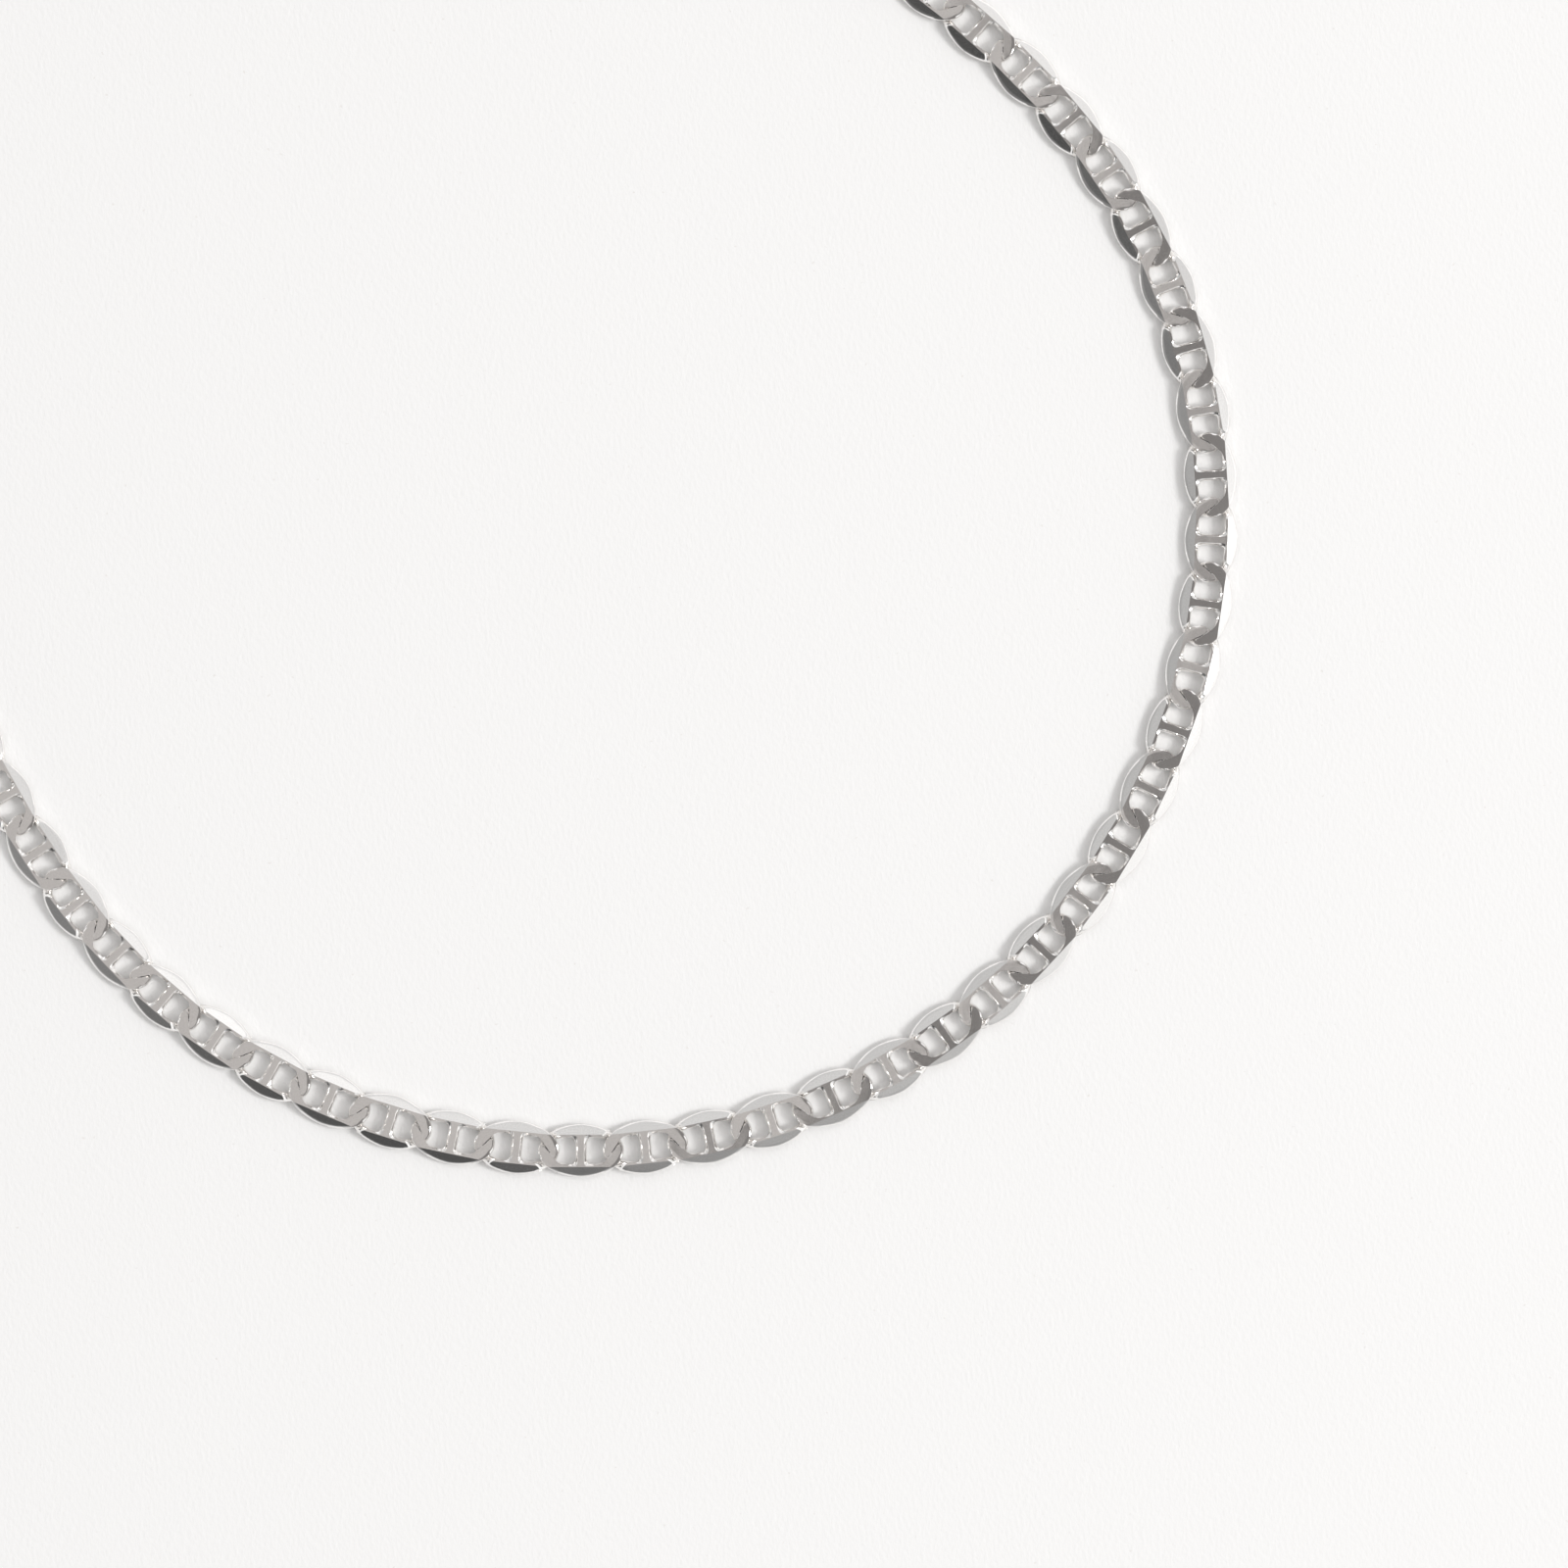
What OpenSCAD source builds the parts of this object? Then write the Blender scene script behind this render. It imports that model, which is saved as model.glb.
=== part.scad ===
// Mariner link chain necklace, lying flat as a closed loop.
// A link is an oval of wire with a bar across its middle, planed flat above and below and
// bevelled along its sides. One side of a link stays high at its ends and the other dips under
// its neighbours, and the next link does the opposite, so that the links lie level.
// Origin: the middle of the loop, on the surface that it lies on. +Z is up.

/* [Necklace] */
// Number of links in the chain
link_count = 68; // [60:2:78]
// Height of the chain between its two flat faces
chain_t = 1.4; // [1.2:0.1:2]

/* [Link] */
// Length of a link over its ends
link_l = 9.6; // [8.8:0.1:11]
// Width of a link over its bevelled sides
link_w = 5.9; // [5.4:0.1:7]
// Width of the wire round a link's ends
end_wire_w = 1.1; // [0.9:0.05:1.3]
// Width of the wire along a link's sides
side_wire_w = 1.5; // [1.3:0.05:1.6]
// Width of the flat band between the two bevels
flat_w = 3.5; // [3.2:0.05:3.9]
// Width of the bar across a link
bar_w = 0.65; // [0.4:0.05:1.2]
// Play lengthwise between two links that hold each other
link_gap = 0.2; // [0.15:0.05:0.4]
// Play between two wires where one lies over the other
cross_gap = 0.16; // [0.12:0.02:0.3]

/* [Clasp] */
// Length of the clasp between the two joints that it closes
clasp_l = 10.6; // [9:0.2:20]
// Space between the clasp's case and the end of the link beside it
case_gap = 0.4; // [0.2:0.05:1]
// Width of the clasp's case
case_w = 6.2; // [5:0.1:8]
// Height of the clasp's case
case_t = 2.4; // [1.8:0.1:4]
// Radius of the case's upright corners
case_r = 1.8; // [0.8:0.1:2.4]
// Chamfer along the case's upper and lower edges
case_chamfer = 0.4; // [0.1:0.05:0.7]

/* [Hidden] */

// The loop's route seen from above, clockwise from beside the clasp: the corners that a smooth
// closed curve is drawn to. They give its form, and the links and the clasp give its length.
ROUTE = [[-72.5, 65], [-52, 81], [-22, 82], [11, 71], [42.5, 52.5], [67.5, 30], [79, 1.5],
         [77.5, -29.5], [63, -57.5], [38.5, -76.5], [8, -83.5], [-22, -77], [-47, -59.5],
         [-63.5, -30], [-75.5, 4], [-80, 37.5]];
// Steps along the curve from one corner to the next
ROUTE_STEPS = 24;
// Where the clasp's middle lies, in mm along the route
CLASP_AT = 21.0;

// Stations round a quarter of a link, from its end to its side: where they stand on the opening's
// oval and on the outer oval, in degrees, and how far the wire's lower face is lifted there on
// the high side, from 0 on the level side to 1 where it passes over the next link
INNER_ANGLE = 0;
OUTER_ANGLE = 1;
LIFT = 2;
LINK_STATIONS = [[8, 8, 0.5], [30, 20, 1], [52, 44, 1], [63, 59, 0]];
// How square the opening of a link is: 2 is an ellipse
OPENING_POWER = 2.6;
// How far the wire's edges are rounded off at a link's ends, as a share of its width
END_ROUND = 0.35;
// Points round the wire at each station
WIRE_POINTS = 5;
SILVER = "#c9c7c6";

half_t = chain_t / 2;
opening_l = link_l - 2 * end_wire_w;
opening_w = link_w - 2 * side_wire_w;
link_pitch = opening_l - link_gap;
loop_l = link_count * link_pitch + clasp_l;
case_l = clasp_l - link_gap - 2 * (end_wire_w + case_gap);

// A point on an oval of half length a and half width b
function oval_point(angle, a, b, power) =
    [a * pow(cos(angle), 2 / power), b * pow(sin(angle), 2 / power)];

// Half width of an oval at the distance u from its middle
function oval_side(u, a, b, power) = b * pow(1 - pow(u / a, power), 1 / power);

// One quarter of a link from its end to its bar: [inner point, outer point, lift]
quarter = concat(
    [for (s = LINK_STATIONS)
        [oval_point(s[INNER_ANGLE], opening_l / 2, opening_w / 2, OPENING_POWER),
         oval_point(s[OUTER_ANGLE], link_l / 2, link_w / 2, 2),
         s[LIFT]]],
    [[[bar_w / 2, oval_side(bar_w / 2, opening_l / 2, opening_w / 2, OPENING_POWER)],
      [bar_w / 2, oval_side(bar_w / 2, link_l / 2, link_w / 2, 2)],
      0]]);
quarter_n = len(quarter);
ring_n = 4 * quarter_n;

// All round the link: the second and fourth quarters run back from the bar to an end
function flipped(s, fu, fv) = [[fu * s[0].x, fv * s[0].y], [fu * s[1].x, fv * s[1].y], s[2]];
ring = [for (q = [0:3], k = [0:quarter_n - 1])
    flipped(quarter[q % 2 == 0 ? k : quarter_n - 1 - k], q == 0 || q == 3 ? 1 : -1, q < 2 ? 1 : -1)];

// The five points round the wire at a station: two on the upper face, the outer edge and two on
// the lower face. The wire is high on the link's +v side and low on its -v side, and where it
// is lifted, its inner wall slants to clear the wire that it crosses.
function wire_section(s) =
    let (high = s[0].y > 0,
         lifted = s[2] * (half_t + cross_gap / 2) - half_t,
         top = high ? half_t : -lifted,
         bottom = high ? lifted : -half_t,
         slant = s[2] > 0 ? END_ROUND : 0,
         v_in = abs(s[0].y),
         v_out = abs(s[1].y),
         flat_end = v_out > flat_w / 2 ? (flat_w / 2 - v_in) / (v_out - v_in) : 1 - END_ROUND)
    [for (p = [[high ? 0 : slant, top], [flat_end, top], [1, (top + bottom) / 2],
               [flat_end, bottom], [high ? slant : 0, bottom]])
        let (plan = s[0] + (s[1] - s[0]) * p[0]) [plan.x, plan.y, p[1]]];
link_points = [for (s = ring, p = wire_section(s)) p];

// The faces of a link, in triangles. The bar takes the place of the inner wall between the two
// stations beside it, on both sides of the link.
UPPER = 0;
LOWER = WIRE_POINTS - 1;
function wire_index(station, point) = (station % ring_n) * WIRE_POINTS + point % WIRE_POINTS;
function quad(q) = [[q[0], q[1], q[2]], [q[0], q[2], q[3]]];
bar_a = quarter_n - 1;
bar_b = quarter_n;
bar_c = 3 * quarter_n - 1;
bar_d = 3 * quarter_n;
wire_faces = [for (i = [0:ring_n - 1], j = [0:WIRE_POINTS - 1])
    if (j != LOWER || (i != bar_a && i != bar_c))
        for (f = quad([wire_index(i, j), wire_index(i + 1, j),
                       wire_index(i + 1, j + 1), wire_index(i, j + 1)])) f];
bar_faces = [for (q = [[[bar_a, UPPER], [bar_d, UPPER], [bar_c, UPPER], [bar_b, UPPER]],
                       [[bar_a, LOWER], [bar_b, LOWER], [bar_c, LOWER], [bar_d, LOWER]],
                       [[bar_d, UPPER], [bar_a, UPPER], [bar_a, LOWER], [bar_d, LOWER]],
                       [[bar_b, UPPER], [bar_c, UPPER], [bar_c, LOWER], [bar_b, LOWER]]])
    for (f = quad([for (corner = q) wire_index(corner[0], corner[1])])) f];
link_faces = concat(wire_faces, bar_faces);

// The route as a smooth closed curve, scaled to the loop's length and centred on the origin
function route_corner(i) = ROUTE[(i + len(ROUTE)) % len(ROUTE)];
function route_curve(i, t) =
    (route_corner(i - 1) * pow(1 - t, 3)
     + route_corner(i) * (3 * pow(t, 3) - 6 * pow(t, 2) + 4)
     + route_corner(i + 1) * (-3 * pow(t, 3) + 3 * pow(t, 2) + 3 * t + 1)
     + route_corner(i + 2) * pow(t, 3)) / 6;
route_n = len(ROUTE) * ROUTE_STEPS;
route_raw = [for (k = [0:route_n])
    route_curve(floor(k / ROUTE_STEPS) % len(ROUTE), (k % ROUTE_STEPS) / ROUTE_STEPS)];
route_run = [for (k = 0, run = 0; k <= route_n;
    run = run + (k < route_n ? norm(route_raw[k + 1] - route_raw[k]) : 0), k = k + 1) run];
route_fit = loop_l / route_run[route_n];
route_x = [for (p = route_raw) p.x];
route_y = [for (p = route_raw) p.y];
route_mid = [max(route_x) + min(route_x), max(route_y) + min(route_y)] / 2;
x_along = [for (k = [0:route_n]) [route_run[k], route_raw[k].x - route_mid.x] * route_fit];
y_along = [for (k = [0:route_n]) [route_run[k], route_raw[k].y - route_mid.y] * route_fit];
function wrapped(run) = run - loop_l * floor(run / loop_l);
function route_at(run) = [lookup(wrapped(run), x_along), lookup(wrapped(run), y_along)];

// Joint k is where link k begins, counted clockwise from the clasp
function joint(k) = route_at(CLASP_AT * route_fit + clasp_l / 2 + k * link_pitch);

// Points moved so that their middle lies at a place on the surface, turned to a heading
function placed(points, place, heading) =
    [for (p = points) [place.x + p.x * cos(heading) - p.y * sin(heading),
                       place.y + p.x * sin(heading) + p.y * cos(heading),
                       half_t + p.z]];
function heading_of(a, b) = atan2(b.y - a.y, b.x - a.x);

// Every second link has its high side to the right
function link_at(k) =
    placed(link_points, (joint(k) + joint(k + 1)) / 2,
           heading_of(joint(k), joint(k + 1)) + (k % 2 == 0 ? 180 : 0));

// A run of links, each a closed shell of its own
module links(first, last) {
    shells = [for (k = [first:last]) link_at(k)];
    polyhedron(
        points = [for (s = shells, p = s) p],
        faces = [for (k = [0:len(shells) - 1], f = link_faces) f + len(link_points) * k * [1, 1, 1]]);
}

module chain_right() {
    color(SILVER) links(0, link_count / 2 - 1);
}

module chain_left() {
    color(SILVER) links(link_count / 2, link_count - 1);
}

// A loop formed as a link's end. It runs back into the case as far as the clasp's middle.
module clasp_loop() {
    intersection() {
        polyhedron(points = placed(link_points, [(clasp_l - link_pitch) / 2, 0], 0), faces = link_faces);
        translate([0, -link_w, -chain_t]) cube([clasp_l + link_l, 2 * link_w, 3 * chain_t]);
    }
}

module case_post(r, z, h) {
    for (x = [-1, 1], y = [-1, 1])
        translate([x * (case_l / 2 - case_r), y * (case_w / 2 - case_r), z]) cylinder(h = h, r = r, $fn = 32);
}

// The clasp is one plain piece: a closed case with a loop at each end
module clasp() {
    a = joint(link_count);
    b = joint(0);
    color(SILVER)
    translate([(a.x + b.x) / 2, (a.y + b.y) / 2, 0])
    rotate(heading_of(a, b))
    union() {
        hull() {
            case_post(case_r - case_chamfer, 0, case_t);
            case_post(case_r, case_chamfer, case_t - 2 * case_chamfer);
        }
        clasp_loop();
        rotate(180) clasp_loop();
    }
}

chain_right();
chain_left();
clasp();
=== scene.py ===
# Looks of a flat mariner link chain necklace, lying as a closed loop on pale paper.
# Everything is in metres in the necklace's own frame; a link's own shape is drawn in millimetres.
import math
import random

import bmesh
import bpy
from mathutils import Matrix, Vector


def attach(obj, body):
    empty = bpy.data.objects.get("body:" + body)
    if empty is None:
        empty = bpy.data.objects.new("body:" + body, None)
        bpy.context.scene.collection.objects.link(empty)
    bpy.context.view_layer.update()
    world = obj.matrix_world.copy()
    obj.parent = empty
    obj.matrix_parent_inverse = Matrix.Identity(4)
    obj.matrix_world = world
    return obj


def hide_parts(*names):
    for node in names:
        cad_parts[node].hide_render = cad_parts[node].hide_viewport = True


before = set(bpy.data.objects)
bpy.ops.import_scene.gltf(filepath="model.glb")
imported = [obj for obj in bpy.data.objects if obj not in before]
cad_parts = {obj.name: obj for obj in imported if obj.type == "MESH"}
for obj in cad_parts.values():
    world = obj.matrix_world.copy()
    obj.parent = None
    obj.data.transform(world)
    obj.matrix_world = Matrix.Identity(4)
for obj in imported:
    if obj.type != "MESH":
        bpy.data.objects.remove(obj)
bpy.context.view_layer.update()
mm = 0.001
random.seed(7)

# The route
necklace = {
    "linkCount": 68,
    "thickness": 1.4,     # between the two planed faces
    "pitch": 7.2,         # from joint to joint
    "claspLength": 10.6,  # between the two joints that the clasp closes
    "claspAt": 21.0,      # middle of the clasp, along the route's own curve
    "roll": -1.0,         # degrees that a link leans to its high side, and how much that varies
    "rollSpread": 0.3,
    "pitchSpread": 0.15,  # degrees that a link may lean lengthwise
}
routeCorners = [(-72.5, 65), (-52, 81), (-22, 82), (11, 71), (42.5, 52.5), (67.5, 30), (79, 1.5),
                (77.5, -29.5), (63, -57.5), (38.5, -76.5), (8, -83.5), (-22, -77), (-47, -59.5),
                (-63.5, -30), (-75.5, 4), (-80, 37.5)]
stepsPerCorner = 24
halfT = necklace["thickness"] / 2


def routeCurve(i, t):
    # a smooth closed curve drawn to the corners, on the stretch between corner i and the next
    weights = ((1 - t) ** 3, 3 * t ** 3 - 6 * t ** 2 + 4, -3 * t ** 3 + 3 * t ** 2 + 3 * t + 1, t ** 3)
    point = Vector((0, 0))
    for k, w in enumerate(weights):
        point += Vector(routeCorners[(i - 1 + k) % len(routeCorners)]) * w / 6
    return point


def measureRoute():
    total = len(routeCorners) * stepsPerCorner
    points = [routeCurve(k // stepsPerCorner % len(routeCorners), k % stepsPerCorner / stepsPerCorner)
              for k in range(total + 1)]
    runs = [0.0]
    for a, b in zip(points, points[1:]):
        runs.append(runs[-1] + (b - a).length)
    fit = (necklace["linkCount"] * necklace["pitch"] + necklace["claspLength"]) / runs[-1]
    middle = Vector(((max(p.x for p in points) + min(p.x for p in points)) / 2,
                     (max(p.y for p in points) + min(p.y for p in points)) / 2))
    return [(p - middle) * fit for p in points], [r * fit for r in runs], fit


routePoints, routeRuns, routeFit = measureRoute()


def routeAt(run):
    run %= routeRuns[-1]
    k = next(i for i in range(1, len(routeRuns)) if routeRuns[i] >= run)
    t = (run - routeRuns[k - 1]) / (routeRuns[k] - routeRuns[k - 1])
    return routePoints[k - 1].lerp(routePoints[k], t)


def joint(k):
    # joint k is where link k begins, clockwise from the clasp
    return routeAt(necklace["claspAt"] * routeFit + necklace["claspLength"] / 2 + k * necklace["pitch"])


# One link
link = {
    "halfLength": 4.8,
    "halfWidth": 2.95,
    "openingHalfLength": 3.70,
    "openingHalfWidth": 1.42,
    "wallPower": 3.0,           # squareness of the opening low on its wall
    "leanFrom": -0.1,           # height at which the high side's wall begins to lean
    "hookEnds": 32,             # the station past which it leans outwards in a round, not over the opening
    "hookFade": 10,             # and over how many degrees that changes
    "rawTop": 1.0,              # the wire's height before it is planed
    "highSquare": 3.6,          # least squareness of the wire's section on the high side
    "tipMiddle": (4.2, -0.05),  # of the hook's tip, where the wire begins to dip
    "tipAlong": (0.63, 0.776),  # the direction of the seam beside the next link's hook
    "tipSize": (0.78, 0.52),    # how far the tip's flat reaches along the seam and towards it
    "tipSquare": 3.5,           # squareness of the flat's outline there
    "tipFall": 1.8,             # fall past the flat per mm
    "tipFloor": -0.15,          # the lowest that it falls to
    "tipEnds": 40,              # the station past which it is not drawn
    "flatHalfWidth": 1.80,      # from the middle to the bevel
    "bevelSlope": 0.56,         # fall of the bevel per mm outwards
    "outlineRound": 0.19,       # how far in from the outline its round nose begins
    "crowding": 0.84,           # how near the outer edge the points beside it stand, where 1 is evenly spread
    "crowdWithin": 50,          # how far round the wire from the outer edge they are moved, in degrees
    "edgeRound": 0.15,          # width of the round along a sharp edge
    "roundSegments": 2,
    "jointRound": 0.045,        # its width where two links' hooks meet
    "jointFrom": 3.2,           # how far along the link that is, and how far across it reaches
    "jointReach": 0.62,
    "sharpFrom": 36,            # the least turn at an edge that gets a round, in degrees
    "creaseFrom": 24,           # the least turn at an edge that is shaded as a crease, in degrees
    "cutSnap": 0.004,           # how near a point to a cut is taken as on it
    "leastNose": 0.004,         # half the height that stays at the very outline
    "planedWithin": 0.0001,     # how near a point to a planed face is taken as on it
    "tidyDistance": 0.02,       # points nearer than this to such a point are joined to it
    "shortEdge": 0.01,          # the edges dropped before rounding, and after it
    "roundedShortEdge": 0.002,
    "mapStep": (13.7, 5.3),     # shift of the finish from one link to the next
    "stations": 72,
    "wireSides": 22,
}
# A quarter of a link from its end to its bar, at equal steps: outer angle and wall angle in degrees,
# the edge of the high side's flat along and across the link, height of the dipping face at the
# opening and at the outer edge, squareness
quarterRows = [
    (0, 0, 3.60, 0.00, 1.0, 1.0, 5.0),
    (6, 5, 3.38, 0.30, 0.85, 1.0, 4.5),
    (12, 14, 3.08, 0.64, 0.42, 1.15, 4.0),
    (20, 28, 2.78, 1.04, -0.15, 0.70, 3.5),
    (30, 44, 2.42, 1.35, -0.15, -0.12, 3.0),
    (42, 57, 1.98, 1.54, 0.42, -0.02, 2.6),
    (54, 69, 1.50, 1.63, 0.90, 0.72, 2.6),
    (66, 79, 1.00, 1.67, 0.95, 0.84, 2.4),
    (78, 86, 0.50, 1.68, 0.88, 0.80, 2.0),
    (90, 90, 0.00, 1.68, 0.87, 0.87, 2.0),
]


def mix(a, b, t):
    return a + (b - a) * t


def smooth(t):
    t = min(1.0, max(0.0, t))
    return t * t * (3 - 2 * t)


def signedPower(x, p):
    return math.copysign(abs(x) ** p, x)


def rowAt(f):
    # the quarter's table at any place from 0 to 90, smoothly between its rows
    x = f / 90 * (len(quarterRows) - 1)
    k = min(int(x), len(quarterRows) - 2)
    t = x - k
    rows = [quarterRows[min(max(k + d, 0), len(quarterRows) - 1)] for d in (-1, 0, 1, 2)]
    out = []
    for a, b, c, d in zip(*rows):
        slopeB, slopeC = (c - a) / 2, (d - b) / 2
        if (c - b) * (b - a) <= 0:
            slopeB = 0
        if (d - c) * (c - b) <= 0:
            slopeC = 0
        out.append(b * (2 * t ** 3 - 3 * t ** 2 + 1) + slopeB * (t ** 3 - 2 * t ** 2 + t)
                   + c * (3 * t ** 2 - 2 * t ** 3) + slopeC * (t ** 3 - t ** 2))
    return out


def ovalPoint(angle, halfLength, halfWidth, power):
    return Vector((halfLength * abs(math.cos(angle)) ** (2 / power),
                   halfWidth * abs(math.sin(angle)) ** (2 / power)))


def planedTop(y):
    # height of the flat or the bevel at the distance y from the middle
    return halfT - link["bevelSlope"] * max(0, abs(y) - link["flatHalfWidth"])


def linkPoint(station, around):
    # a point of the raw wire: station in degrees round the link, around in degrees round the wire
    station %= 360
    high = station <= 180
    f = station if high else 360 - station
    endSign = 1 if f <= 90 else -1
    f = min(f, 180 - f)
    outerA, wallA, edgeAlong, edgeAcross, near, far, square = rowAt(f)
    square = max(square, link["highSquare"]) if high else square
    across = signedPower(math.cos(math.radians(around)), 2 / square)
    up = signedPower(math.sin(math.radians(around)), 2 / square)
    share = (across + 1) / 2
    outer = ovalPoint(math.radians(outerA), link["halfLength"], link["halfWidth"], 2)
    wall = ovalPoint(math.radians(wallA), link["openingHalfLength"], link["openingHalfWidth"],
                     link["wallPower"])

    def facesAt(share):
        # heights of the lower and the upper face before planing, by the share of the way outwards
        dip = mix(near, far, share)
        if f < link["tipEnds"]:
            # past the hook's tip the dipping face falls away
            away = wall.lerp(outer, share) - Vector(link["tipMiddle"])
            along = Vector(link["tipAlong"])
            parts = (max(0, away.dot(along)) / link["tipSize"][0],
                     max(0, away.dot(Vector((-along.y, along.x)))) / link["tipSize"][1])
            past = sum(part ** link["tipSquare"] for part in parts) ** (1 / link["tipSquare"]) - 1
            dip = min(dip, max(halfT - past * link["tipSize"][1] * link["tipFall"], link["tipFloor"]))
        return (-dip, link["rawTop"]) if high else (-link["rawTop"], dip)

    bottom, top = facesAt(share)
    z = mix(bottom, top, (up + 1) / 2)
    if high:
        rise = min(1, max(0, (z - link["leanFrom"]) / (halfT - link["leanFrom"])))
        leant = mix(smooth(rise), 1 - math.sqrt(1 - rise ** 2),
                    smooth((f - link["hookEnds"]) / link["hookFade"]))
        wall = wall.lerp(Vector((edgeAlong, edgeAcross)), leant)
    plan = wall.lerp(outer, share)
    inset = (outer - wall).length * (1 - share)
    planed = planedTop(outer.y)
    under, over = [min(planed, max(-planed, edge)) for edge in facesAt(1)]
    place = Vector((endSign * plan.x, plan.y if high else -plan.y, z))
    return place, inset, (under + over) / 2, (over - under) / 2 - planed


def crowd(around):
    # the three points on each side of the wire's outer edge stand a little closer to it
    away = min(around, 360 - around)
    closer = away * link["crowding"] if away < link["crowdWithin"] else away
    return closer if around <= 180 else 360 - closer


def bendWire():
    # a grid bent round into a plain ring of wire, whose points are then moved to the link's own form
    bm = bmesh.new()
    ringR, wireR = 4.0, 1.0
    bmesh.ops.create_grid(bm, x_segments=link["stations"], y_segments=link["wireSides"], size=0.5)
    station = bm.verts.layers.float.new("station")
    around = bm.verts.layers.float.new("around")
    inset = bm.verts.layers.float.new("inset")
    noseAt = bm.verts.layers.float.new("noseAt")
    noseReach = bm.verts.layers.float.new("noseReach")
    for v in bm.verts:
        v[station] = round((v.co.x + 0.5) * 360, 3) % 360
        v[around] = round((v.co.y + 0.5) * 360, 3) % 360
        turn, rise = math.radians(v[station]), math.radians(v[around])
        reach = ringR + wireR * math.cos(rise)
        v.co = (reach * math.cos(turn), reach * math.sin(turn), wireR * math.sin(rise))
    bmesh.ops.remove_doubles(bm, verts=bm.verts[:], dist=1e-4)
    for v in bm.verts:
        v.co, v[inset], v[noseAt], v[noseReach] = linkPoint(v[station], crowd(v[around]))
    bmesh.ops.recalc_face_normals(bm, faces=bm.faces[:])
    return bm


bar = {
    "footStations": 21,  # half length of its foot along the rail, in degrees round the link
    "footAround": 66,    # how far its foot reaches up and down the wall, in degrees round the wire
    "reach": 1.0,        # half length of its foot, mm
    "halfWidth": 0.66,
    "halfHeight": 0.84,
    "square": 2.0,
    # Where its cross sections stand, as shares of the way from its middle to its foot
    "sections": (0.20, 0.50, 0.62, 0.74, 0.86, 0.95),
    "filletFrom": 0.60,  # the share at which the round fillet into the rail begins
    "filletLift": 0.25,  # turns the fillet's end to the slope of the rail
}


def openFoot(bm, middle):
    # take out the faces of the inner wall that the bar's foot replaces
    station, around = bm.verts.layers.float["station"], bm.verts.layers.float["around"]
    foot = {v for v in bm.verts
            if abs(v[station] - middle) < bar["footStations"] and abs(v[around] - 180) < bar["footAround"]}
    faces = [f for f in bm.faces if all(v in foot for v in f.verts)]
    bmesh.ops.delete(bm, geom=faces, context="FACES")


def reshapeBar(v, share, steps):
    # shift a point of the straight bridge to its section and to the bar's own form
    row = round((abs(share) * (steps + 1) - 1) / 2)
    to = math.copysign(bar["sections"][row], share)
    t = max(0.0, (abs(to) - bar["filletFrom"]) / (1 - bar["filletFrom"]))
    widen = 1 - math.sqrt(1 - t * t)
    turn = math.atan2(v.co.z / bar["halfHeight"], v.co.x / bar["reach"])
    slim = Vector((bar["halfWidth"] * signedPower(math.cos(turn), 2 / bar["square"]), 0,
                   bar["halfHeight"] * signedPower(math.sin(turn), 2 / bar["square"])))
    x = mix(slim.x, v.co.x, widen)
    y = v.co.y * to / share + math.copysign(bar["filletLift"] * abs(x - slim.x) * (1 - widen), share)
    v.co = Vector((x, y, mix(slim.z, v.co.z, widen)))


def addBar(bm):
    openFoot(bm, 90)
    openFoot(bm, 270)
    edges = [e for e in bm.edges if e.is_boundary]
    made = bmesh.ops.bridge_loops(bm, edges=edges)
    across = list(dict.fromkeys(e for f in made["faces"] for e in f.edges if e not in edges))
    side = bm.verts.layers.float.new("side")
    for v in {v for e in edges for v in e.verts}:
        v[side] = math.copysign(1, v.co.y)
    steps = 2 * len(bar["sections"])
    cut = bmesh.ops.subdivide_edges(bm, edges=across, cuts=steps)
    for v in (v for v in cut["geom_inner"] if isinstance(v, bmesh.types.BMVert)):
        reshapeBar(v, v[side], steps)
    bmesh.ops.recalc_face_normals(bm, faces=bm.faces[:])
    print("link: bar foot edges", len(edges), "bar faces", len(made["faces"]) * (steps + 1))


def planeDown(bm, point, normal):
    # cut along a plane and press what stands above it straight down onto it, as planing does
    point, normal = Vector(point), Vector(normal).normalized()
    bmesh.ops.bisect_plane(bm, geom=bm.verts[:] + bm.edges[:] + bm.faces[:], dist=link["cutSnap"],
                           plane_co=point, plane_no=normal)
    for v in bm.verts:
        over = (v.co - point).dot(normal)
        if over > 0:
            v.co.z -= over / normal.z


def roundOutline(bm):
    # a round nose all round the link's outline
    layers = bm.verts.layers.float
    inset, noseAt, noseReach = layers["inset"], layers["noseAt"], layers["noseReach"]
    for v in bm.verts:
        if v[inset] < link["outlineRound"]:
            share = 1 - max(0, v[inset]) / link["outlineRound"]
            rounded = math.sqrt(max(0, 1 - share * share))
            most = max(link["leastNose"], (planedTop(v.co.y) + v[noseReach]) * rounded)
            v.co.z = v[noseAt] + min(most, max(-most, v.co.z - v[noseAt]))


def onPlane(v):
    # whether planing has left the point on a flat or a bevel
    return abs(abs(v.co.z) - planedTop(v.co.y)) < link["planedWithin"]


def isAtJoint(v):
    # whether the point stands where the next link's hook touches
    return abs(v.co.x) > link["jointFrom"] and abs(v.co.y) < link["jointReach"]


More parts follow.
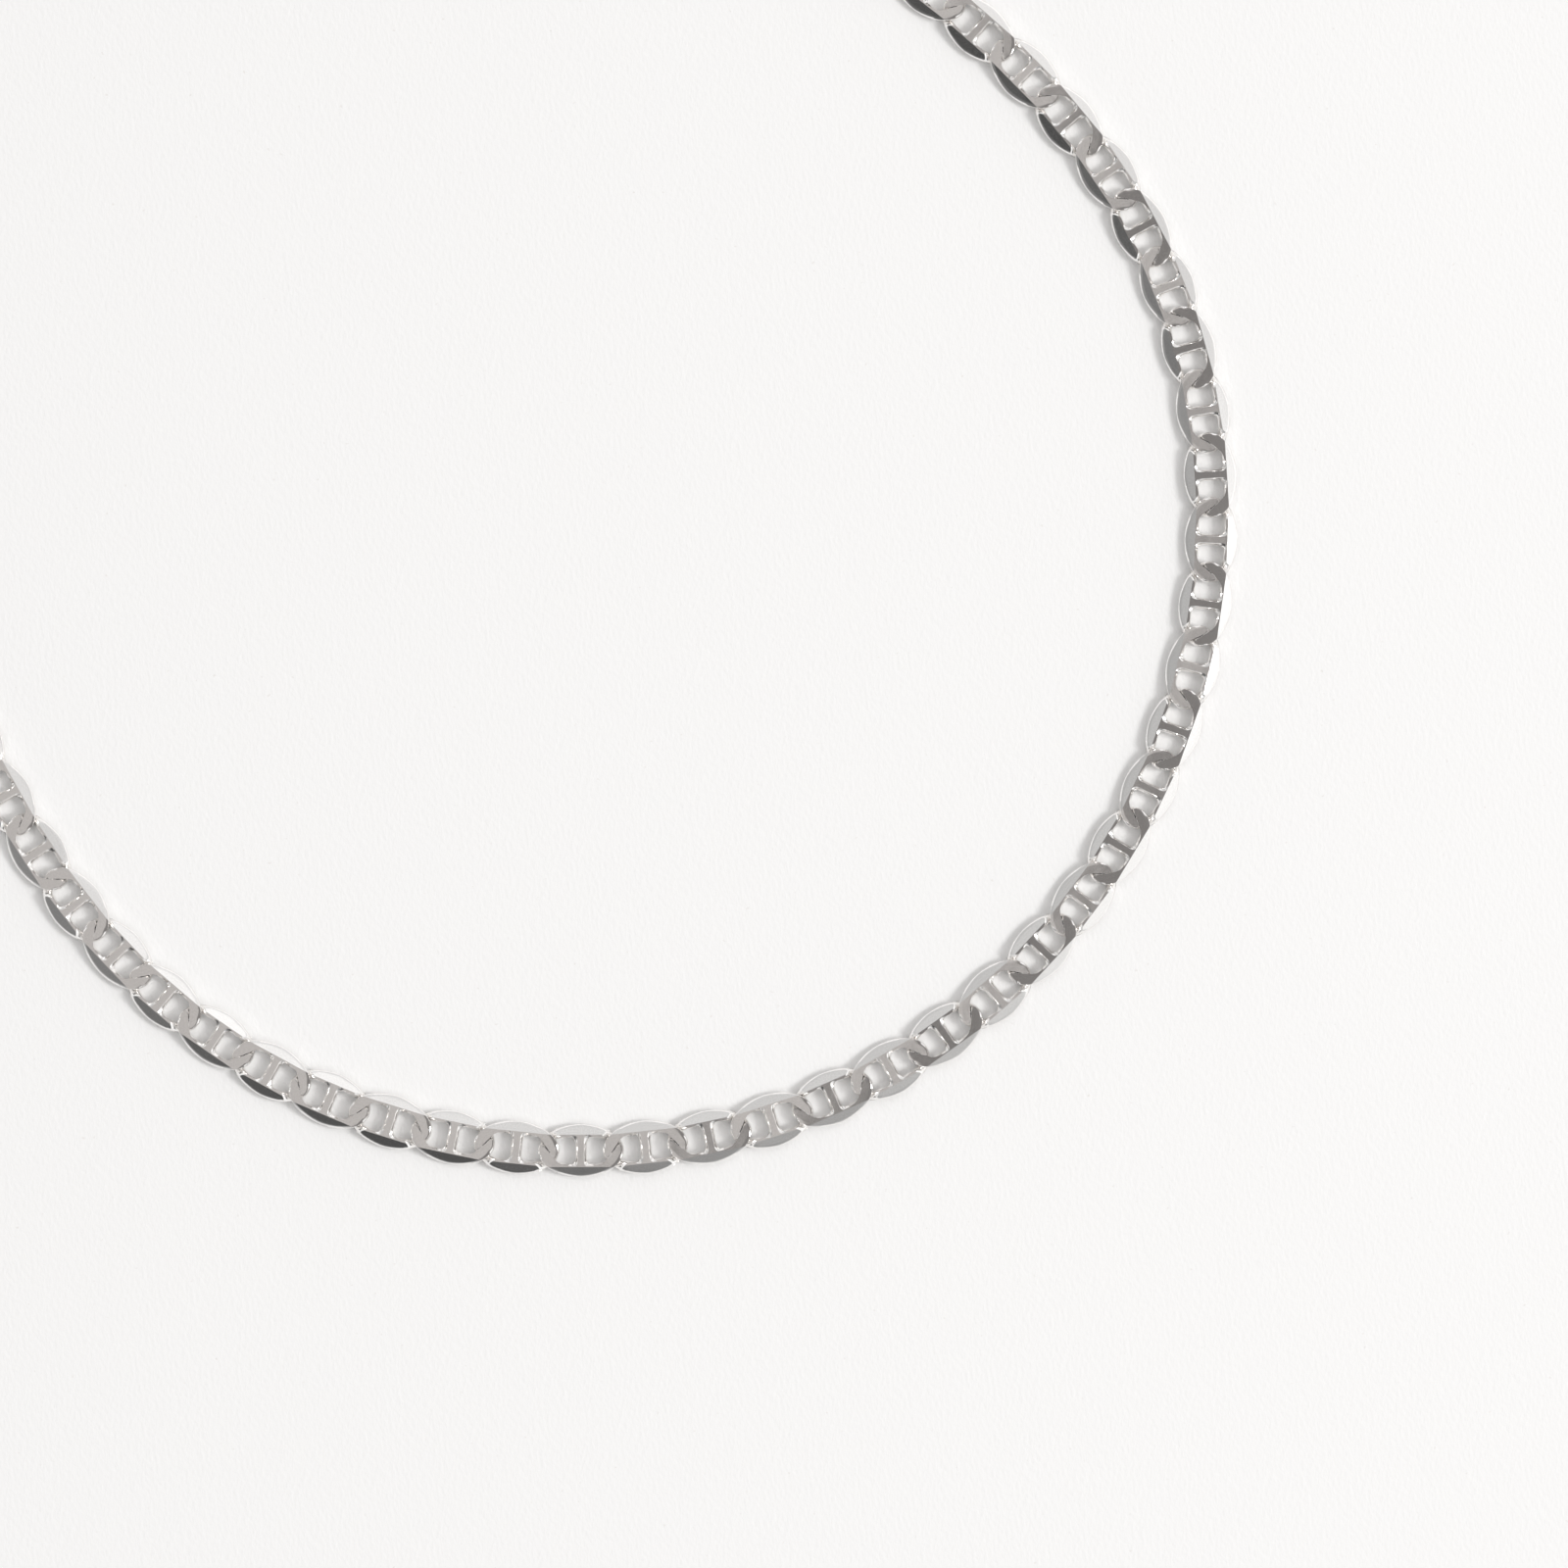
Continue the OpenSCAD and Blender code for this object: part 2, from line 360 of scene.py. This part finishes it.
def roundEdges(bm):
    # a narrow round along the sharp edges that planing leaves, not between a flat and its bevel
    planed = [v for v in bm.verts if onPlane(v)]
    near = bmesh.ops.find_doubles(bm, verts=bm.verts[:], keep_verts=planed, dist=link["tidyDistance"])
    bmesh.ops.weld_verts(bm, targetmap=near["targetmap"])
    bmesh.ops.dissolve_degenerate(bm, edges=bm.edges[:], dist=link["shortEdge"])
    sharp = [e for e in bm.edges if e.is_manifold and e.is_convex
             and e.calc_face_angle() > math.radians(link["sharpFrom"])]
    atJoint = [e for e in sharp if all(isAtJoint(v) for v in e.verts)]
    elsewhere = [e for e in sharp if e not in atJoint]
    for edges, offset in ((atJoint, link["jointRound"]), (elsewhere, link["edgeRound"])):
        edges = [e for e in edges if e.is_valid]
        bmesh.ops.bevel(bm, geom=edges, offset=offset, offset_type="OFFSET", segments=link["roundSegments"],
                        profile=0.5, affect="EDGES", clamp_overlap=True, material=-1)
    bmesh.ops.dissolve_degenerate(bm, edges=bm.edges[:], dist=link["roundedShortEdge"])
    print("link: sharp edges", len(sharp))


def shadeAndMap(bm, uv):
    # smooth faces with creases between them, and a map for the finish as seen from above
    for f in bm.faces:
        f.smooth = True
        for loop in f.loops:
            loop[uv].uv = loop.vert.co.xy
    for e in bm.edges:
        e.smooth = len(e.link_faces) != 2 or e.calc_face_angle(0) < math.radians(link["creaseFrom"])


def makeLink():
    bm = bendWire()
    addBar(bm)
    for up in (1, -1):
        planeDown(bm, (0, 0, up * halfT), (0, 0, up))
        for side in (1, -1):
            edge = (0, side * link["flatHalfWidth"], up * halfT)
            planeDown(bm, edge, (0, side * link["bevelSlope"], up))
    roundOutline(bm)
    roundEdges(bm)
    shadeAndMap(bm, bm.loops.layers.uv.new("linkMap"))
    mesh = bpy.data.meshes.new("masterLink")
    bm.to_mesh(mesh)
    bm.free()
    print("link: faces", len(mesh.polygons), "triangles", sum(len(p.vertices) - 2 for p in mesh.polygons))
    return mesh


def placeLink(k):
    # every second link has its high side to the right
    a, b = joint(k), joint(k + 1)
    heading = math.atan2(b.y - a.y, b.x - a.x) + (math.pi if k % 2 == 0 else 0)
    middle = (a + b) / 2
    roll = math.radians(random.gauss(necklace["roll"], necklace["rollSpread"]))
    lean = math.radians(random.gauss(0, necklace["pitchSpread"]))
    # a leaning link stands on the edge of its lower flat
    lift = link["flatHalfWidth"] * math.sin(abs(roll)) + link["halfLength"] * math.sin(abs(lean))
    return (Matrix.Translation((middle.x * mm, middle.y * mm, (halfT + lift) * mm))
            @ Matrix.Rotation(heading, 4, "Z") @ Matrix.Rotation(roll, 4, "X")
            @ Matrix.Rotation(lean, 4, "Y") @ Matrix.Scale(mm, 4))


def joinLinks(name, first, last, mesh):
    bm = bmesh.new()
    uv = bm.loops.layers.uv.new("linkMap")
    stepU, stepV = link["mapStep"]
    for k in range(first, last + 1):
        before = len(bm.verts)
        facesBefore = len(bm.faces)
        bm.from_mesh(mesh)
        bm.verts.ensure_lookup_table()
        bm.faces.ensure_lookup_table()
        bmesh.ops.transform(bm, matrix=placeLink(k), verts=bm.verts[before:])
        for f in bm.faces[facesBefore:]:
            for loop in f.loops:
                loop[uv].uv.x += k * stepU
                loop[uv].uv.y += k * stepV
    out = bpy.data.meshes.new(name)
    bm.to_mesh(out)
    bm.free()
    piece = bpy.data.objects.new(name, out)
    bpy.context.collection.objects.link(piece)
    print("chain:", name, "links", last - first + 1, "faces", len(out.polygons))
    return piece


# Materials
def nodeMaterial(name):
    mat = bpy.data.materials.new(name)
    mat.use_nodes = True
    nodes, links = mat.node_tree.nodes, mat.node_tree.links
    return mat, nodes, links, nodes["Principled BSDF"]


def mapNode(nodes, links, source, ends, to=(0, 1), smoothly=True):
    node = nodes.new("ShaderNodeMapRange")
    node.interpolation_type = "SMOOTHSTEP" if smoothly else "LINEAR"
    node.inputs["From Min"].default_value, node.inputs["From Max"].default_value = ends
    node.inputs["To Min"].default_value, node.inputs["To Max"].default_value = to
    links.new(source, node.inputs["Value"])
    return node.outputs["Result"]


def mixNode(nodes, links, factor, a, b, kind="MIX"):
    node = nodes.new("ShaderNodeMix")
    node.data_type = "RGBA"
    node.blend_type = kind
    for name, value in (("Factor", factor), ("A", a), ("B", b)):
        if isinstance(value, bpy.types.NodeSocket):
            links.new(value, node.inputs[name])
        elif isinstance(value, tuple):
            node.inputs[name].default_value = (*value, 1)
        elif name == "Factor":
            node.inputs[name].default_value = value
        else:
            node.inputs[name].default_value = (value, value, value, 1)
    return node.outputs["Result"]


def noiseNode(nodes, links, where, scale, detail=2):
    node = nodes.new("ShaderNodeTexNoise")
    node.inputs["Scale"].default_value = scale
    node.inputs["Detail"].default_value = detail
    links.new(where, node.inputs["Vector"])
    return node.outputs["Fac"]


def bumpNode(nodes, links, height, distance, onto=None):
    node = nodes.new("ShaderNodeBump")
    node.inputs["Strength"].default_value = 1.0
    node.inputs["Distance"].default_value = distance
    links.new(height, node.inputs["Height"])
    if onto is not None:
        links.new(onto, node.inputs["Normal"])
    return node.outputs["Normal"]


silver = {
    "bright": (0.95, 0.935, 0.92),
    "dull": (0.89, 0.872, 0.855),
    "toneEnds": (0.35, 0.65),        # the grain's noise where it is bright, and where it is dull
    "roughness": (0.08, 0.16),
    "roughEnds": (0.3, 0.7),         # the scratches' noise at each of the two
    "scratchStretch": (20, 1.5, 1),  # finer along the link than across it, so that they run across
    "scratchScale": 1.4,             # noise cells per mm, here and below
    "scratchDistance": 0.0000008,
    "waveScale": 0.42,
    "waveDistance": 0.00001,
    "grainScale": 7.0,
    "grainDistance": 0.0000006,
}


def makeSilver(name):
    mat, nodes, links, shader = nodeMaterial(name)
    shader.inputs["Metallic"].default_value = 1.0
    uv = nodes.new("ShaderNodeUVMap")
    uv.uv_map = "linkMap"
    where = uv.outputs["UV"]
    stretch = nodes.new("ShaderNodeMapping")
    stretch.inputs["Scale"].default_value = silver["scratchStretch"]
    links.new(where, stretch.inputs["Vector"])
    lines = noiseNode(nodes, links, stretch.outputs["Vector"], silver["scratchScale"], detail=4)
    wave = noiseNode(nodes, links, where, silver["waveScale"], detail=1)
    grain = noiseNode(nodes, links, where, silver["grainScale"], detail=3)
    dullness = mapNode(nodes, links, grain, silver["toneEnds"])
    tone = mixNode(nodes, links, dullness, silver["bright"], silver["dull"])
    links.new(tone, shader.inputs["Base Color"])
    rough = mapNode(nodes, links, lines, silver["roughEnds"], silver["roughness"], smoothly=False)
    links.new(rough, shader.inputs["Roughness"])
    normal = bumpNode(nodes, links, wave, silver["waveDistance"])
    normal = bumpNode(nodes, links, grain, silver["grainDistance"], normal)
    normal = bumpNode(nodes, links, lines, silver["scratchDistance"], normal)
    links.new(normal, shader.inputs["Normal"])
    return mat


linkMesh = makeLink()
halfCount = necklace["linkCount"] // 2
chainRight = joinLinks("chainRight", 0, halfCount - 1, linkMesh)
chainLeft = joinLinks("chainLeft", halfCount, 2 * halfCount - 1, linkMesh)

# The clasp, out of the photo's frame: a plain closed case with half a link at each end
clasp = {
    "caseLength": 7.4,
    "caseWidth": 6.2,
    "caseHeight": 2.4,
    "cornerRadius": 1.8,
    "cornerSegments": 10,
    "edgeRound": 0.4,
    "edgeSegments": 5,
    "rimFrom": 80,     # the least turn at the case's upper and lower edges, in degrees
    "loopCut": 3.2,    # how far from the clasp's middle its loops begin, inside the case
    "cutSnap": 0.001,  # how near two heights or places are taken as the same
}


def isLevel(edge):
    return abs(edge.verts[0].co.z - edge.verts[1].co.z) < clasp["cutSnap"]


def roundedCase(bm):
    size = (clasp["caseLength"], clasp["caseWidth"], clasp["caseHeight"], 1)
    bmesh.ops.create_cube(bm, size=1, matrix=Matrix.Diagonal(size))
    upright = [e for e in bm.edges if not isLevel(e)]
    bmesh.ops.bevel(bm, geom=upright, offset=clasp["cornerRadius"], segments=clasp["cornerSegments"],
                    profile=0.5, affect="EDGES", material=-1)
    rims = [e for e in bm.edges if isLevel(e) and e.calc_face_angle() > math.radians(clasp["rimFrom"])]
    bmesh.ops.bevel(bm, geom=rims, offset=clasp["edgeRound"], segments=clasp["edgeSegments"],
                    profile=0.5, affect="EDGES", material=-1)
    bmesh.ops.translate(bm, verts=bm.verts[:], vec=(0, 0, clasp["caseHeight"] / 2 - halfT))


def claspLoop(linkMesh, turn):
    bm = bmesh.new()
    bm.from_mesh(linkMesh)
    along = (necklace["claspLength"] - necklace["pitch"]) / 2
    bmesh.ops.translate(bm, verts=bm.verts[:], vec=(along, 0, 0))
    bmesh.ops.bisect_plane(bm, geom=bm.verts[:] + bm.edges[:] + bm.faces[:], dist=clasp["cutSnap"],
                           plane_co=(clasp["loopCut"], 0, 0), plane_no=(1, 0, 0), clear_inner=True)
    bmesh.ops.holes_fill(bm, edges=[e for e in bm.edges if e.is_boundary], sides=0)
    bmesh.ops.rotate(bm, verts=bm.verts[:], cent=(0, 0, 0), matrix=Matrix.Rotation(turn, 3, "Z"))
    loop = bpy.data.meshes.new("claspLoop")
    bm.to_mesh(loop)
    bm.free()
    return loop


def makeClasp(linkMesh):
    bm = bmesh.new()
    uv = bm.loops.layers.uv.new("linkMap")
    roundedCase(bm)
    for turn in (0, math.pi):
        bm.from_mesh(claspLoop(linkMesh, turn))
    shadeAndMap(bm, uv)
    a, b = joint(necklace["linkCount"]), joint(0)
    middle = (a + b) / 2
    bmesh.ops.transform(bm, verts=bm.verts[:], matrix=(
        Matrix.Translation((middle.x * mm, middle.y * mm, halfT * mm))
        @ Matrix.Rotation(math.atan2(b.y - a.y, b.x - a.x), 4, "Z") @ Matrix.Scale(mm, 4)))
    mesh = bpy.data.meshes.new("clasp")
    bm.to_mesh(mesh)
    bm.free()
    piece = bpy.data.objects.new("claspPiece", mesh)
    bpy.context.collection.objects.link(piece)
    print("clasp: faces", len(mesh.polygons))
    return piece


claspPiece = makeClasp(linkMesh)
silverMaterial, claspMaterial = makeSilver("polishedSilver"), makeSilver("claspSilver")
for piece, node, material, slot in ((chainRight, "chain_right", silverMaterial, "polished_silver"),
                                    (chainLeft, "chain_left", silverMaterial, "polished_silver"),
                                    (claspPiece, "clasp", claspMaterial, "clasp_silver")):
    piece.data.materials.append(material)
    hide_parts(node)
    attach(piece, "root")

# Paper, light and camera
paper = {
    "side": 3.0,                # metres
    "roughness": 0.9,
    "specular": 0.2,
    "colour": (0.90, 0.893, 0.885),
    "fleck": (0.82, 0.80, 0.78),
    "fleckScale": 1500,
    "fleckEnds": (0.71, 0.79),  # the noise above which a fleck shows, and where it is full
    "fibreScale": 2300,         # noise cells per metre
    "fibreStretch": (1.0, 0.55, 1.0),
    "fibreTurn": 30,            # degrees
    "relief": 0.00004,          # metres
}


def makePaper():
    bm = bmesh.new()
    bmesh.ops.create_grid(bm, x_segments=1, y_segments=1, size=paper["side"] / 2)
    mesh = bpy.data.meshes.new("paper")
    bm.to_mesh(mesh)
    bm.free()
    obj = bpy.data.objects.new("paper", mesh)
    bpy.context.collection.objects.link(obj)
    mat, nodes, links, shader = nodeMaterial("paper")
    shader.inputs["Roughness"].default_value = paper["roughness"]
    shader.inputs["Specular IOR Level"].default_value = paper["specular"]
    where = nodes.new("ShaderNodeTexCoord").outputs["Object"]
    fleck = mapNode(nodes, links, noiseNode(nodes, links, where, paper["fleckScale"]), paper["fleckEnds"])
    tone = mixNode(nodes, links, fleck, paper["colour"], paper["fleck"])
    links.new(tone, shader.inputs["Base Color"])
    turned = nodes.new("ShaderNodeMapping")
    turned.inputs["Rotation"].default_value = (0, 0, math.radians(paper["fibreTurn"]))
    turned.inputs["Scale"].default_value = paper["fibreStretch"]
    links.new(where, turned.inputs["Vector"])
    fibres = noiseNode(nodes, links, turned.outputs["Vector"], paper["fibreScale"], detail=3)
    links.new(bumpNode(nodes, links, fibres, paper["relief"]), shader.inputs["Normal"])
    mesh.materials.append(mat)
    return obj


light = {
    "softboxPower": 25.9,
    "softboxAzimuth": -5,         # degrees from east through north
    "softboxElevation": 40,
    "softboxDistance": 2.4,       # metres
    "softboxSize": (0.76, 0.64),  # metres
    "roomStrength": 1.0,
}


def makeSoftbox():
    data = bpy.data.lights.new("softbox", "AREA")
    data.shape = "RECTANGLE"
    data.size, data.size_y = light["softboxSize"]
    data.energy = light["softboxPower"]
    obj = bpy.data.objects.new("softbox", data)
    az, el = math.radians(light["softboxAzimuth"]), math.radians(light["softboxElevation"])
    away = Vector((math.cos(az) * math.cos(el), math.sin(az) * math.cos(el), math.sin(el)))
    obj.location = away * light["softboxDistance"]
    obj.rotation_euler = (-away).to_track_quat("-Z", "Y").to_euler()
    bpy.context.collection.objects.link(obj)


# The room's brightness by direction, in degrees from east through north: seen low
# at about 28 degrees up by the outer bevels and at about 38 degrees up by the inner ones
roomLow = [(-180, 0.35), (-150, 0.24), (-138, 0.20), (-128, 0.10), (-112, 0.07), (-99, 0.08), (-90, 0.19),
           (-80, 0.30), (-62, 0.42), (-48, 0.60), (-38, 1.0), (0, 1.05), (15, 0.82), (27, 0.70), (34, 0.73),
           (45, 0.90), (90, 0.70), (135, 0.55), (180, 0.35)]
roomHigh = [(-180, 0.44), (-173, 0.24), (-165, 0.15), (-150, 0.085), (-138, 0.06), (-128, 0.08), (-90, 0.40),
            (-45, 0.95), (0, 1.2), (22, 1.1), (31, 0.85), (38, 0.62), (45, 0.92), (55, 1.12), (76, 1.0),
            (84, 0.76), (100, 0.72), (135, 0.65), (165, 0.53), (180, 0.44)]
roomHorizon = [(-180, 0.90), (-120, 0.80), (-60, 0.95), (0, 1.2), (60, 1.2), (120, 1.0), (180, 0.90)]
# What the flats mirror in the hole: the place across it, in shares of its ends, and its brightness
hole = [(0, 0.51), (0.06, 0.53), (0.30, 0.64), (0.37, 0.54), (0.44, 0.37), (0.50, 0.30), (0.56, 0.25),
        (0.68, 0.155), (0.81, 0.165), (0.97, 0.23)]
room = {
    "horizonEnds": (0.10, 0.40),  # as sines of the height, here and below
    "lowEnds": (0.50, 0.60),
    "highEnds": (0.69, 0.77),
    "tent": 1.24,                 # the bright tent round the camera's hole
    "tentEnds": (0.87, 0.91),
    "acrossHole": (1, -0.3, 0),   # the direction along which the hole's brightness changes
    "holeEnds": (-0.06, 0.10),
    "holeTint": (1.0, 0.958, 0.935),
    "patchScale": 26,
    "patchEnds": (0.3, 0.7),      # the noise at which the hole is darkest, and lightest
    "patchDepth": 0.10,
}


def rampNode(nodes, stops, first, last):
    node = nodes.new("ShaderNodeValToRGB")
    for i, (place, value) in enumerate(stops):
        at = (place - first) / (last - first)
        stop = node.color_ramp.elements[i] if i < 2 else node.color_ramp.elements.new(at)
        stop.position = at
        stop.color = (value, value, value, 1)
    return node


def makeRoom():
    # a light tent with a hole for the camera, over a ring of uneven light by direction
    world = bpy.data.worlds.new("room")
    world.use_nodes = True
    nodes, links = world.node_tree.nodes, world.node_tree.links
    where = nodes.new("ShaderNodeTexCoord").outputs["Generated"]
    split = nodes.new("ShaderNodeSeparateXYZ")
    links.new(where, split.inputs["Vector"])
    turn = nodes.new("ShaderNodeMath")
    turn.operation = "ARCTAN2"
    links.new(split.outputs["Y"], turn.inputs[0])
    links.new(split.outputs["X"], turn.inputs[1])
    azimuth = mapNode(nodes, links, turn.outputs["Value"], (-math.pi, math.pi), smoothly=False)
    horizon, low, high = [rampNode(nodes, stops, -180, 180) for stops in (roomHorizon, roomLow, roomHigh)]
    for ramp in (horizon, low, high):
        links.new(azimuth, ramp.inputs["Fac"])
    up = split.outputs["Z"]
    risen = mapNode(nodes, links, up, room["horizonEnds"])
    tone = mixNode(nodes, links, risen, horizon.outputs["Color"], low.outputs["Color"])
    tone = mixNode(nodes, links, mapNode(nodes, links, up, room["lowEnds"]), tone, high.outputs["Color"])
    tone = mixNode(nodes, links, mapNode(nodes, links, up, room["highEnds"]), tone, room["tent"])
    across = nodes.new("ShaderNodeVectorMath")
    across.operation = "DOT_PRODUCT"
    links.new(where, across.inputs[0])
    across.inputs[1].default_value = room["acrossHole"]
    place = mapNode(nodes, links, across.outputs["Value"], room["holeEnds"], smoothly=False)
    seen = rampNode(nodes, hole, 0, 1)
    links.new(place, seen.inputs["Fac"])
    dark = mixNode(nodes, links, 1.0, seen.outputs["Color"], room["holeTint"], "MULTIPLY")
    patches = nodes.new("ShaderNodeTexNoise")
    patches.inputs["Scale"].default_value = room["patchScale"]
    links.new(where, patches.inputs["Vector"])
    tones = (1 - room["patchDepth"], 1 + room["patchDepth"])
    patch = mapNode(nodes, links, patches.outputs["Fac"], room["patchEnds"], tones, smoothly=False)
    dark = mixNode(nodes, links, 1.0, dark, patch, "MULTIPLY")
    tone = mixNode(nodes, links, mapNode(nodes, links, up, room["tentEnds"]), tone, dark)
    back = nodes["Background"]
    links.new(tone, back.inputs["Color"])
    back.inputs["Strength"].default_value = light["roomStrength"]
    bpy.context.scene.world = world


view = {
    "lookAt": (30.38, -40.35),  # middle of the photo's frame, mm
    "frameWidth": 174.5,        # what the frame spans on the paper, mm
    "height": 700.0,            # of the camera over the chain, mm
}


def makeCamera():
    data = bpy.data.cameras.new("camera")
    data.sensor_fit = "HORIZONTAL"
    data.sensor_width = 36
    data.lens = data.sensor_width * view["height"] / view["frameWidth"]
    data.clip_start, data.clip_end = 0.01, 20
    obj = bpy.data.objects.new("camera", data)
    obj.location = (view["lookAt"][0] * mm, view["lookAt"][1] * mm, (view["height"] + halfT) * mm)
    bpy.context.collection.objects.link(obj)
    bpy.context.scene.camera = obj


makePaper()
makeSoftbox()
makeRoom()
makeCamera()
bpy.context.scene.view_settings.view_transform = "Standard"
